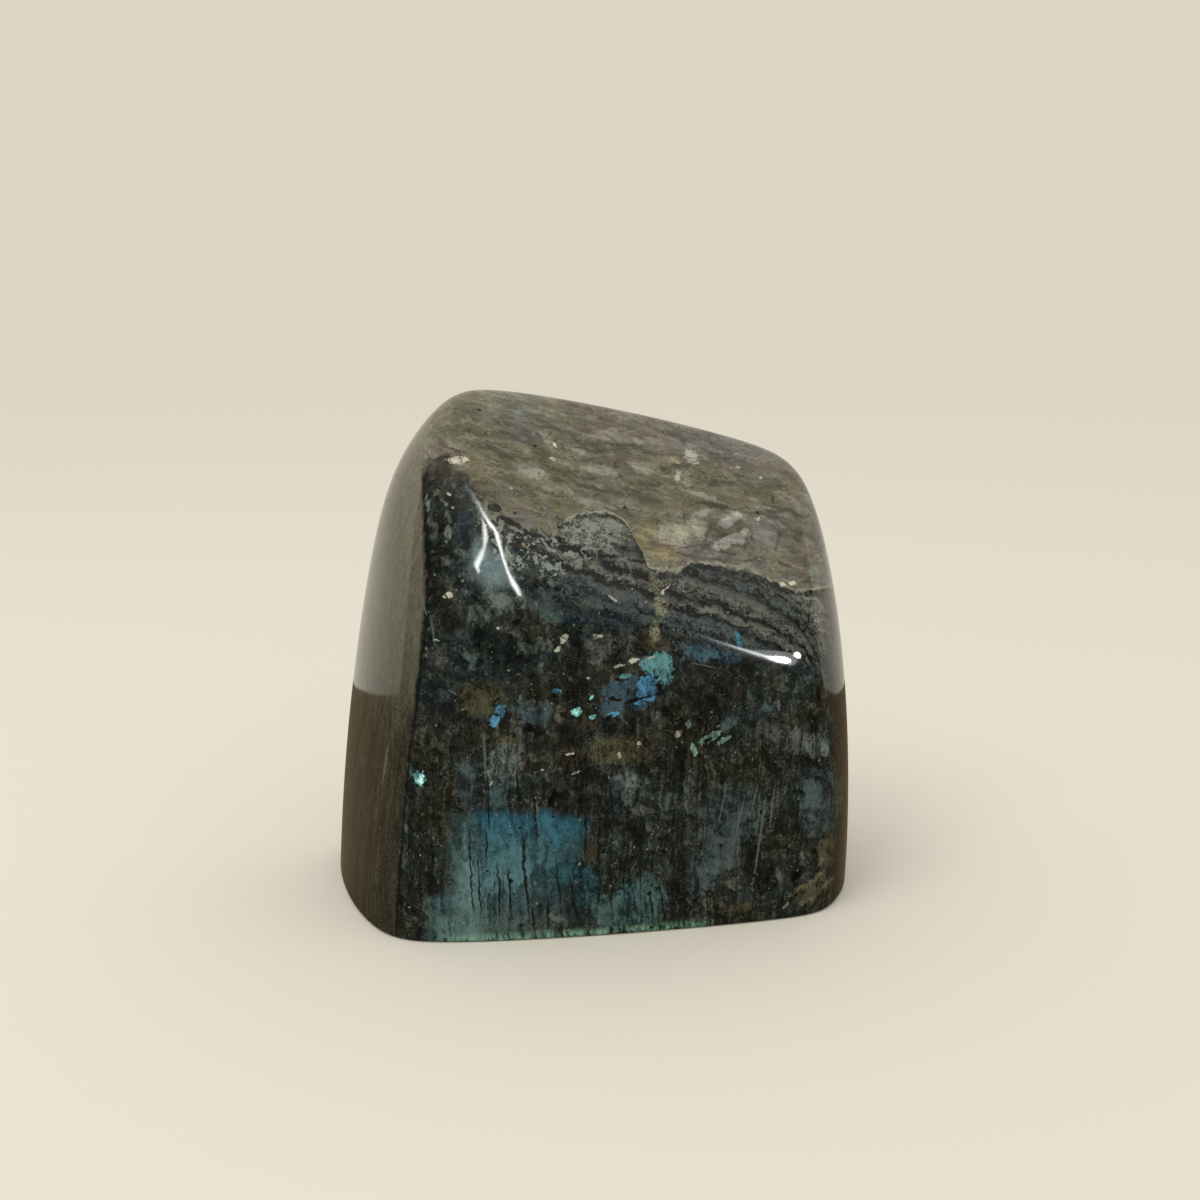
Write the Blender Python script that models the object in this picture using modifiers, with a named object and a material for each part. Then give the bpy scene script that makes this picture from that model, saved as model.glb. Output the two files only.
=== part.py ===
# Labradorite freeform: a palm-sized stone, sawn flat underneath and polished all over.
#
# Grinding leaves a stone like this with a few broad, slightly crowned faces that melt into one
# another at soft ridges. Each face is one row of FACES. A gridded block is cast outwards from the
# middle of the base until it meets the faces, and the rim of the base is then eased.
#
# Metres, +Z up. The front faces -Y, and the origin is the middle of the base.

import math

import bmesh
import bpy
import numpy as np
from mathutils import Vector

NAME = "stone"
HEIGHT = 0.130  # base to crown
HEART = (0.0, 0.0, 0.050)  # each face's reach is measured from this point inside the stone

# turn: degrees round Z from the front, positive towards +X
# lean: degrees that the face looks up
# reach: distance from the heart to the middle of the face
# across, up: radius of the face's crown, level and uphill; a negative radius is a hollow
# melt: how softly the face runs into its neighbours
FACES = {
    "front": dict(turn=-3, lean=4, reach=0.0311, across=0.500, up=0.900, melt=0.0025),
    "cheek": dict(turn=-29, lean=18.5, reach=0.0483, across=1.200, up=0.176, melt=0.0043),
    "left": dict(turn=-61.5, lean=9.5, reach=0.0566, across=0.095, up=0.580, melt=0.0047),
    "right": dict(turn=86.5, lean=1.5, reach=0.0659, across=0.106, up=4.500, melt=0.0031),
    "front_right": dict(turn=44.5, lean=12, reach=0.0577, across=0.190, up=0.200, melt=0.0029),
    "back": dict(turn=176, lean=6.5, reach=0.0405, across=0.300, up=0.600, melt=0.0045),
    "slope": dict(turn=13, lean=39.5, reach=0.0399, across=-0.950, up=0.450, melt=0.0020),
    "crown_left": dict(turn=-72.5, lean=34.5, reach=0.0769, across=0.112, up=0.340, melt=0.0025),
    "crown_right": dict(turn=83.5, lean=35.5, reach=0.0905, across=0.095, up=0.088, melt=0.0052),
    "top": dict(turn=145, lean=78.5, reach=0.0813, across=-0.260, up=0.060, melt=0.0055),
}

BLOCK = (0.067, 0.040, 0.130)  # half width, half depth and height of the block that is cast outwards
CELLS = 36  # grid cells along each of its edges, an even number
FARTHEST = 0.200  # no part of the stone is farther than this from the middle of the base
HALVINGS = 30  # steps of the search for the surface

RIM_EASE = 0.0012  # width of the eased rim round the base
RIM_STEPS = 3
RIM_ANGLE = math.radians(50)  # only the rim of the base is sharper than this
SMOOTH_ANGLE = math.radians(40)

STONE_COLOUR = (0.028, 0.034, 0.036, 1.0)
STONE_ROUGHNESS = 0.12


def clear_scene():
    for obj in list(bpy.data.objects):
        bpy.data.objects.remove(obj, do_unlink=True)


def face_directions(face):
    """The way a face looks, the level line across it and the line up it."""
    turn, lean = math.radians(face["turn"]), math.radians(face["lean"])
    look = Vector(
        (
            math.sin(turn) * math.cos(lean),
            -math.cos(turn) * math.cos(lean),
            math.sin(lean),
        )
    )
    level = Vector((math.cos(turn), math.sin(turn), 0.0))
    return look, level, look.cross(level)


def is_outside(points):
    """Which points lie outside the faces, where the melts round off every ridge between them."""
    from_heart = points - np.array(HEART)
    total = np.zeros(len(points))
    for face in FACES.values():
        look, level, uphill = face_directions(face)
        sideways = from_heart @ np.array(level)
        upwards = from_heart @ np.array(uphill)
        fall = sideways**2 / (2 * face["across"]) + upwards**2 / (2 * face["up"])
        proud = from_heart @ np.array(look) - face["reach"] + fall
        total += np.exp(np.minimum(proud / face["melt"], 50.0))
    return total > 1.0


def cast_outwards(directions):
    """The point where each direction from the middle of the base meets the surface."""
    near = np.zeros(len(directions))
    far = np.full(len(directions), FARTHEST)
    for _ in range(HALVINGS):
        middle = (near + far) / 2
        outside = is_outside(directions * middle[:, None])
        far = np.where(outside, middle, far)
        near = np.where(outside, near, middle)
    return directions * near[:, None]


def block_directions(corners):
    """Directions from the middle of the base, spread evenly over the block's five open sides."""
    spread = np.tan(corners * math.pi / 4)
    spread /= np.linalg.norm(spread, axis=1)[:, None]
    spread *= np.array(BLOCK)
    return spread / np.linalg.norm(spread, axis=1)[:, None]


def gridded_half_cube():
    """A cube from -1 to 1, gridded, with its lower half cut away and left open."""
    bm = bmesh.new()
    bmesh.ops.create_cube(bm, size=2.0)
    bmesh.ops.subdivide_edges(bm, edges=bm.edges[:], cuts=CELLS - 1, use_grid_fill=True)
    lower = [face for face in bm.faces if face.calc_center_median().z < 0]
    bmesh.ops.delete(bm, geom=lower, context="FACES")
    return bm


def make_stone():
    bm = gridded_half_cube()
    corners = np.array([vert.co[:] for vert in bm.verts])
    points = cast_outwards(block_directions(corners))
    points[np.abs(corners[:, 2]) < 1e-6, 2] = 0.0
    points *= HEIGHT / points[:, 2].max()
    middle = (points.min(axis=0) + points.max(axis=0)) / 2
    points[:, :2] -= middle[:2]
    for vert, point in zip(bm.verts, points):
        vert.co = point

    rim = [edge for edge in bm.edges if edge.is_boundary]
    bmesh.ops.contextual_create(bm, geom=rim)
    bmesh.ops.recalc_face_normals(bm, faces=bm.faces[:])
    mesh = bpy.data.meshes.new(NAME)
    bm.to_mesh(mesh)
    bm.free()
    mesh.shade_smooth()
    mesh.set_sharp_from_angle(angle=SMOOTH_ANGLE)
    return bpy.data.objects.new(NAME, mesh)


def ease_rim(stone):
    ease = stone.modifiers.new("eased rim", "BEVEL")
    ease.limit_method = "ANGLE"
    ease.angle_limit = RIM_ANGLE
    ease.width = RIM_EASE
    ease.segments = RIM_STEPS


def polished_stone():
    material = bpy.data.materials.new("polished labradorite")
    material.use_nodes = True
    material.diffuse_color = STONE_COLOUR
    shader = material.node_tree.nodes["Principled BSDF"]
    shader.inputs["Base Color"].default_value = STONE_COLOUR
    shader.inputs["Roughness"].default_value = STONE_ROUGHNESS
    shader.inputs["Metallic"].default_value = 0.0
    return material


def main():
    clear_scene()
    collection = bpy.data.collections.new("labradorite freeform")
    bpy.context.scene.collection.children.link(collection)
    stone = make_stone()
    collection.objects.link(stone)
    stone.data.materials.append(polished_stone())
    ease_rim(stone)


main()
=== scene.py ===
import math
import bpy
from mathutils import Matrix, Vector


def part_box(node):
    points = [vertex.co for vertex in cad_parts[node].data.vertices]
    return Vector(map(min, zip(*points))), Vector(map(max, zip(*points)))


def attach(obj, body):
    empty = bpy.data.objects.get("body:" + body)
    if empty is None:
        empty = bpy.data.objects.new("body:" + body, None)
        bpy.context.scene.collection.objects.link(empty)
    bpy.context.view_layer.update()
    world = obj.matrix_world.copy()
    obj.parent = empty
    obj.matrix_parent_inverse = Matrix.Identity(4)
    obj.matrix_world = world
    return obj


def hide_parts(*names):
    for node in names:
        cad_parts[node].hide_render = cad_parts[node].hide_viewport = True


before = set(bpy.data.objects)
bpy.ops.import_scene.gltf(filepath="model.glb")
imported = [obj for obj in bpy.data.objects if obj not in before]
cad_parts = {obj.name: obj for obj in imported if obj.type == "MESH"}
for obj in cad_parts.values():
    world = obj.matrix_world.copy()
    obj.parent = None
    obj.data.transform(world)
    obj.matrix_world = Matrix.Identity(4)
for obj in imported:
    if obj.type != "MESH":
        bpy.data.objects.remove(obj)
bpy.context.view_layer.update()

from types import SimpleNamespace
import bpy
from mathutils import Euler, Vector


# Helpers for objects and trees of nodes

def addObject(name, data):
    thing = bpy.data.objects.new(name, data)
    bpy.context.scene.collection.objects.link(thing)
    return thing


def feed(value, socket):
    if isinstance(value, bpy.types.NodeSocket):
        socket.id_data.links.new(value, socket)
    else:
        socket.default_value = (*value, 1) if socket.type == "RGBA" else value


def addNode(tree, kind, sockets=None, **settings):
    node = tree.nodes.new(kind)
    for name, value in settings.items():
        setattr(node, name, value)
    for key, value in (sockets or {}).items():
        feed(value, node.inputs[key])
    return node


def follow(kind, sockets, **settings):  # a node in the tree that its inputs come from
    given = [value for value in sockets.values() if isinstance(value, bpy.types.NodeSocket)]
    return addNode(given[0].id_data, kind, sockets, **settings)


def calc(operation, *values, clamp=False):  # one Math node
    numbers = dict(enumerate(values))
    return follow("ShaderNodeMath", numbers, operation=operation, use_clamp=clamp).outputs[0]


def times(first, second):
    return calc("MULTIPLY", first, second)


def plus(first, second):
    return calc("ADD", first, second)


def minus(first, second):
    return calc("SUBTRACT", first, second)


def divided(first, second, clamp=False):
    return calc("DIVIDE", first, second, clamp=clamp)


def vecCalc(operation, *values):  # one Vector Math node
    node = follow("ShaderNodeVectorMath", dict(enumerate(values)), operation=operation)
    return node.outputs["Value" if operation == "DOT_PRODUCT" else "Vector"]


def scaled(vector, factor):
    return follow("ShaderNodeVectorMath", {0: vector, "Scale": factor}, operation="SCALE").outputs[0]


def joined(x, y, z):
    return follow("ShaderNodeCombineXYZ", {0: x, 1: y, 2: z}).outputs[0]


def split(vector):
    return follow("ShaderNodeSeparateXYZ", {0: vector}).outputs


def newGroup(name, kind, inputs, outputs):
    tree = bpy.data.node_groups.new(name, kind)
    for inOut, sockets in (("INPUT", inputs), ("OUTPUT", outputs)):
        for socketName, (socketType, value) in sockets.items():
            socket = tree.interface.new_socket(
                name=socketName, in_out=inOut, socket_type="NodeSocket" + socketType)
            if value is not None:
                socket.default_value = value
    start = tree.nodes.new("NodeGroupInput")
    end = tree.nodes.new("NodeGroupOutput")
    return tree, start.outputs, end.inputs


# The stone's form: ten ground faces that melt into one another, in degrees and mm

stoneForm = {
    "heart": (0, 0, 50),  # the faces' reaches are measured from here
    "block": (67, 40, 130),  # half width, half depth and height of what is cast outwards
    "cells": (150, 92, 108),  # grid along X, Y and Z
    "farthest": 200,
    "halvings": 22,
    "steepest": 50,  # keeps the exponent of a face that is far away within bounds
    "baseRows": 0.45,  # a smaller number crowds more rows of the grid towards the base
    "rimEase": 1.2,
    "wave": 0.03,  # hand polish is never quite even
    "waveLength": 24,
    "waveStart": 12,  # height at which the waves have come in
}

groundFaces = {  # turn, lean, reach, radius across, radius up, melt
    "front": (-3, 4, 31.1, 500, 900, 2.5),
    "cheek": (-29, 18.5, 48.3, 1200, 176, 4.3),
    "left": (-61.5, 9.5, 56.6, 95, 580, 4.7),
    "right": (86.5, 1.5, 65.9, 106, 4500, 3.1),
    "frontRight": (44.5, 12, 57.7, 190, 200, 2.9),
    "back": (176, 6.5, 40.5, 300, 600, 4.5),
    "slope": (13, 39.5, 39.9, -950, 450, 2),
    "crownLeft": (-72.5, 34.5, 76.9, 112, 340, 2.5),
    "crownRight": (83.5, 35.5, 90.5, 95, 88, 5.2),
    "top": (145, 78.5, 81.3, -260, 60, 5.5),
}


def makeFaceGroup():
    vector, number = ("Vector", None), ("Float", 1)
    tree, given, result = newGroup("groundFace", "GeometryNodeTree", {
        "From Heart": vector, "Look": vector, "Level": vector, "Uphill": vector,
        "Reach": number, "Across": number, "Up": number, "Melt": number,
    }, {"Push": ("Float", None)})
    place = given["From Heart"]
    sideways = vecCalc("DOT_PRODUCT", place, given["Level"])
    upwards = vecCalc("DOT_PRODUCT", place, given["Uphill"])
    fallAcross = divided(times(sideways, sideways), given["Across"])
    fallUp = divided(times(upwards, upwards), given["Up"])
    fall = times(plus(fallAcross, fallUp), 0.5)
    outwards = vecCalc("DOT_PRODUCT", place, given["Look"])
    proud = plus(minus(outwards, given["Reach"]), fall)
    steep = calc("MINIMUM", divided(proud, given["Melt"]), stoneForm["steepest"])
    feed(calc("EXPONENT", steep), result["Push"])
    return tree


def faceDirections(turn, lean):
    turn, lean = math.radians(turn), math.radians(lean)
    flat = math.cos(lean)
    look = Vector((math.sin(turn) * flat, -math.cos(turn) * flat, math.sin(lean)))
    level = Vector((math.cos(turn), math.sin(turn), 0))
    return look, level, look.cross(level)


def pushOfFaces(place):  # over 1 outside the stone
    faceGroup = makeFaceGroup()
    fromHeart = vecCalc("SUBTRACT", place, stoneForm["heart"])
    total = 0
    for name, (turn, lean, reach, across, up, melt) in groundFaces.items():
        look, level, uphill = faceDirections(turn, lean)
        face = follow("GeometryNodeGroup", {
            "From Heart": fromHeart, "Look": look, "Level": level, "Uphill": uphill,
            "Reach": reach, "Across": across, "Up": up, "Melt": melt,
        }, node_tree=faceGroup, label=name)
        total = plus(total, face.outputs[0])
    return total


def placeIn(tree):
    return addNode(tree, "GeometryNodeInputPosition").outputs[0]


def readName(tree, name, kind="FLOAT"):
    node = addNode(tree, "GeometryNodeInputNamedAttribute", {"Name": name}, data_type=kind)
    return node.outputs["Attribute"]


def storeName(geometry, name, value, kind="FLOAT"):
    sockets = {"Geometry": geometry, "Name": name, "Value": value}
    return follow("GeometryNodeStoreNamedAttribute", sockets, data_type=kind, domain="POINT").outputs[0]


def moved(geometry, socket, value):
    return follow("GeometryNodeSetPosition", {"Geometry": geometry, socket: value}).outputs[0]


def griddedBlock(tree):  # half a cube standing on its cut, with the ray through each corner
    countX, countY, countZ = stoneForm["cells"]
    cube = addNode(tree, "GeometryNodeMeshCube", {
        "Size": (2, 2, 1), "Vertices X": countX + 1,
        "Vertices Y": countY + 1, "Vertices Z": countZ + 1}).outputs["Mesh"]
    mesh = moved(cube, "Offset", (0, 0, 0.5))
    x, y, z = split(placeIn(tree))
    widest = calc("MAXIMUM", calc("MAXIMUM", calc("ABSOLUTE", x), calc("ABSOLUTE", y)), z)
    crowd = stoneForm["baseRows"]
    crowded = divided(times(z, plus(z, crowd)), 1 + crowd)
    outer = vecCalc("DIVIDE", joined(x, y, crowded), joined(widest, widest, 1))
    angles = split(scaled(outer, math.pi / 4))
    even = joined(*[calc("TANGENT", angle) for angle in angles])
    spread = vecCalc("MULTIPLY", vecCalc("NORMALIZE", even), stoneForm["block"])
    mesh = storeName(mesh, "ray", vecCalc("NORMALIZE", spread), "FLOAT_VECTOR")
    mesh = storeName(mesh, "share", widest)
    mesh = storeName(mesh, "near", 0)
    return storeName(mesh, "far", stoneForm["farthest"])


def castToFaces(tree, mesh):  # each ray is halved towards the place where it leaves the stone
    begin = tree.nodes.new("GeometryNodeRepeatInput")
    ending = tree.nodes.new("GeometryNodeRepeatOutput")
    begin.pair_with_output(ending)
    feed(stoneForm["halvings"], begin.inputs["Iterations"])
    feed(mesh, begin.inputs["Geometry"])
    near, far = readName(tree, "near"), readName(tree, "far")
    middle = times(plus(near, far), 0.5)
    place = scaled(readName(tree, "ray", "FLOAT_VECTOR"), middle)
    outside = calc("GREATER_THAN", pushOfFaces(place), 1)
    newNear = follow("ShaderNodeMix", {"Factor": outside, "A": middle, "B": near}).outputs[0]
    newFar = follow("ShaderNodeMix", {"Factor": outside, "A": far, "B": middle}).outputs[0]
    both = storeName(begin.outputs["Geometry"], "newNear", newNear)
    both = storeName(both, "far", newFar)
    both = storeName(both, "near", readName(tree, "newNear"))
    feed(both, ending.inputs["Geometry"])
    # on the underside the grid is the rim drawn in towards the middle
    reach = times(readName(tree, "near"), readName(tree, "share"))
    ends = scaled(readName(tree, "ray", "FLOAT_VECTOR"), reach)
    return moved(ending.outputs["Geometry"], "Position", ends)


def polishWaves(tree, mesh, given):  # long shallow waves, none on the base
    position = placeIn(tree)
    wave = follow("ShaderNodeTexNoise", {
        "Vector": position, "Scale": divided(1, given["Wave Length"]), "Detail": 1})
    height = split(position)[2]
    offBase = divided(height, stoneForm["waveStart"], clamp=True)
    swell = times(minus(wave.outputs[0], 0.5), 2)
    swell = times(times(swell, given["Wave"]), offBase)
    normal = addNode(tree, "GeometryNodeInputNormal").outputs[0]
    return moved(mesh, "Offset", scaled(normal, swell))


def easedRim(tree, mesh, given):  # a quarter round drawn in below the height of the ease
    position = placeIn(tree)
    ease = given["Rim Ease"]
    depth = divided(minus(ease, split(position)[2]), ease, clamp=True)
    arc = calc("SQRT", minus(1, times(depth, depth)))
    inset = times(times(minus(arc, 1), ease), readName(tree, "share"))
    outwards = vecCalc("NORMALIZE", vecCalc("MULTIPLY", position, (1, 1, 0)))
    return moved(mesh, "Offset", scaled(outwards, inset))


def fillBox(tree, mesh, given):  # the box that the frame gives, in metres
    position = placeIn(tree)
    box = follow("GeometryNodeBoundBox", {"Geometry": mesh}).outputs
    size = vecCalc("SUBTRACT", box["Max"], box["Min"])
    share = vecCalc("DIVIDE", vecCalc("SUBTRACT", position, box["Min"]), size)
    room = vecCalc("SUBTRACT", given["High Corner"], given["Low Corner"])
    placed = vecCalc("ADD", vecCalc("MULTIPLY", share, room), given["Low Corner"])
    return moved(mesh, "Position", placed)


def makeFormTree(material):
    tree, given, result = newGroup("stoneForm", "GeometryNodeTree", {
        "Low Corner": ("Vector", None), "High Corner": ("Vector", None),
        "Rim Ease": ("Float", stoneForm["rimEase"]), "Wave": ("Float", stoneForm["wave"]),
        "Wave Length": ("Float", stoneForm["waveLength"]),
    }, {"Geometry": ("Geometry", None)})
    mesh = castToFaces(tree, griddedBlock(tree))
    mesh = polishWaves(tree, mesh, given)
    mesh = easedRim(tree, mesh, given)
    mesh = fillBox(tree, mesh, given)
    for name in ("ray", "share", "near", "newNear", "far"):
        mesh = follow("GeometryNodeRemoveAttribute", {"Geometry": mesh, "Name": name}).outputs[0]
    mesh = follow("GeometryNodeSetShadeSmooth", {"Geometry": mesh}).outputs[0]
    mesh = follow("GeometryNodeRealizeInstances", {"Geometry": mesh}).outputs[0]
    covered = follow("GeometryNodeSetMaterial", {"Geometry": mesh, "Material": material})
    feed(covered.outputs[0], result["Geometry"])
    return tree


def makeStone(material):
    low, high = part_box("stone")
    blank = addObject("blank", bpy.data.meshes.new("blank"))
    modifier = blank.modifiers.new("form", "NODES")
    modifier.node_group = makeFormTree(material)
    corners = {"Low Corner": tuple(low), "High Corner": tuple(high)}
    for item in modifier.node_group.interface.items_tree:
        if item.name in corners:
            modifier[item.identifier] = corners[item.name]
    graph = bpy.context.evaluated_depsgraph_get()
    mesh = bpy.data.meshes.new_from_object(blank.evaluated_get(graph))
    bpy.data.objects.remove(blank)
    mesh.name = "polished_stone"
    stone = addObject("polished_stone", mesh)
    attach(stone, "root")
    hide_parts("stone")
    print("stone:", len(mesh.polygons), "faces")


# The finish: dark stone that flashes blue, under a pale weathered cap. Sizes in mm

finish = {
    "ior": 1.56,
    "polish": (0.045, 0.075),  # roughness, from the best places to the most worn
    "brokenPolish": 0.3,  # added in cracks and pits
    "bodyTones": [
        (0.24, (0.0034, 0.0038, 0.0032)), (0.4, (0.0095, 0.011, 0.0092)),
        (0.52, (0.0165, 0.0192, 0.0166)), (0.65, (0.032, 0.0364, 0.0328)),
        (0.84, (0.105, 0.112, 0.1))],
    "bodyTints": ((1.13, 1.03, 0.81), (0.88, 1.02, 1.05)),  # brown and teal
    "flashTones": [  # from the base up
        (0.05, (0.058, 0.082, 0.076)), (0.2, (0.052, 0.088, 0.088)), (0.38, (0.055, 0.12, 0.128)),
        (0.58, (0.044, 0.11, 0.128)), (0.76, (0.02, 0.086, 0.122))],
    "flashPale": (0.08, 0.142, 0.134),  # at its left end
    "capTones": [
        (0.2, (0.055, 0.046, 0.03)), (0.35, (0.086, 0.078, 0.053)), (0.5, (0.118, 0.109, 0.073)),
        (0.65, (0.152, 0.144, 0.104)), (0.85, (0.25, 0.24, 0.19))],
    "capTints": ((1.03, 0.955, 1.03), (1.03, 1.01, 0.88), (0.93, 1, 1.12)),  # purple, yellow and cool
    "capCreases": ((0.045, 0.039, 0.027), (0.235, 0.225, 0.175)),  # dark and pale
    "capLines": ((0.28, 0.265, 0.19), (0.01, 0.01, 0.008)),  # along its edge
    "sideTones": [  # from the base up
        (0.36, (0.034, 0.029, 0.018)), (0.48, (0.058, 0.054, 0.036)), (0.6, (0.08, 0.074, 0.049)),
        (0.85, (0.097, 0.087, 0.056))],
    "sideLine": (0.006, 0.006, 0.005),
    "rightSide": (0.016, 0.015, 0.01),
    "beltSmear": (0.04, 0.045, 0.038),
    "beltSpeckle": (0.215, 0.238, 0.198),
    # a painted glow along the foot of the front face, in the flash's mint
    "paintedRimGlow": (0.2, 0.4, 0.27),
    "crack": (0.004, 0.006, 0.006),
    "curl": (0.15, 0.153, 0.128),
    "speck": (0.23, 0.235, 0.2),
    "pit": (0.003, 0.003, 0.0025),
    "scratch": (0.115, 0.135, 0.122),
}


def noiseAt(place, size, detail=2, rough=0.5, colour=False):
    node = follow("ShaderNodeTexNoise", {
        "Vector": place, "Scale": 1 / size, "Detail": detail, "Roughness": rough})
    return node.outputs["Color" if colour else "Fac"]


def stretched(place, sizes, tilt=0, turn=0):  # tilt: down to the right, in degrees
    rotation = (0, math.radians(tilt), math.radians(turn))
    return follow("ShaderNodeMapping", {"Vector": place, "Rotation": rotation, "Scale": sizes},
                  vector_type="TEXTURE").outputs[0]


def streaksAt(place, sizes, detail, rough, tilt=0, turn=0):
    return noiseAt(stretched(place, sizes, tilt, turn), 1, detail, rough)


def cellsAt(place, size, metric="EUCLIDEAN"):  # distance to a cell's middle, and its own number
    node = follow("ShaderNodeTexVoronoi", {"Vector": place, "Scale": 1 / size}, distance=metric)
    return node.outputs["Distance"], split(node.outputs["Color"])[0]


def flakesAt(place, sizes, tilt=0, turn=0, metric="EUCLIDEAN"):
    return cellsAt(stretched(place, sizes, tilt, turn), 1, metric)[1]


def between(value, low, high, start=0, end=1):
    return follow("ShaderNodeMapRange", {
        "Value": value, "From Min": low, "From Max": high, "To Min": start, "To Max": end},
        interpolation_type="SMOOTHSTEP").outputs[0]


def lineAt(value, outer, inner, most=1):  # a line where a value is near zero
    return between(calc("ABSOLUTE", value), outer, inner, 0, most)


def dotsAt(place, size, biggest, soft, most=1):  # round dots, most of them tiny
    distance, choice = cellsAt(place, size)
    radius = times(calc("POWER", choice, 5), biggest)
    return between(minus(distance, radius), 0, -soft, 0, most)


def painted(mask, under, over):
    return follow("ShaderNodeMix", {0: mask, 6: under, 7: over}, data_type="RGBA").outputs[2]


def toned(value, stops):
    node = follow("ShaderNodeValToRGB", {0: value})
    points = node.color_ramp.elements
    while len(points) < len(stops):
        points.new(0.5)
    for point, (position, colour) in zip(points, stops):
        point.position, point.color = position, (*colour, 1)
    return node.outputs[0]


def shifted(place, size, amount, detail=0):
    drift = noiseAt(place, size, detail, colour=True)
    drift = scaled(vecCalc("SUBTRACT", drift, (0.5,) * 3), amount * 2)
    return vecCalc("ADD", place, drift)


def blended(*parts, middle=0.5):  # sum of number times weight, about a middle
    total = middle - sum(weight for _, weight in parts) / 2
    for value, weight in parts:
        total = calc("MULTIPLY_ADD", value, weight, total)
    return total


# Where the cap ends, as height over x; the cap's lower edge steps down beside the golden patch
capEdge = [
    (-70, 117), (-50, 115), (-40, 113), (-35.5, 111), (-33, 107.5), (-30, 103.5), (-25.5, 100.3),
    (-19, 98.3), (-14.5, 97.9), (-11, 100.2), (-6, 101.4), (2, 100.6), (6, 97), (7.6, 91.5), (10, 88.6),
    (17, 88.2), (20, 89), (27, 88.6), (31.5, 87.2), (38, 85.2), (43, 83.1), (48, 81.3), (60, 80.3),
    (70, 79)]

stoneHeight = 130
edgeSpan = (-70, 140, stoneHeight)  # what the edge's curve spans: from x, as far as, as high as

# How each sort of mark ends: where it is full, how much it hides and how torn its edge is
markEdges = {
    "soft": (0.62, 0.85, 0.45), "glow": (1.2, 0.95, 0.2), "faint": (0.62, 0.62, 0.45),
    "whole": (0.36, 0.88, 0.18), "crisp": (0.26, 0.95, 0.8), "line": (0.4, 0.65, 0.8),
}

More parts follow.
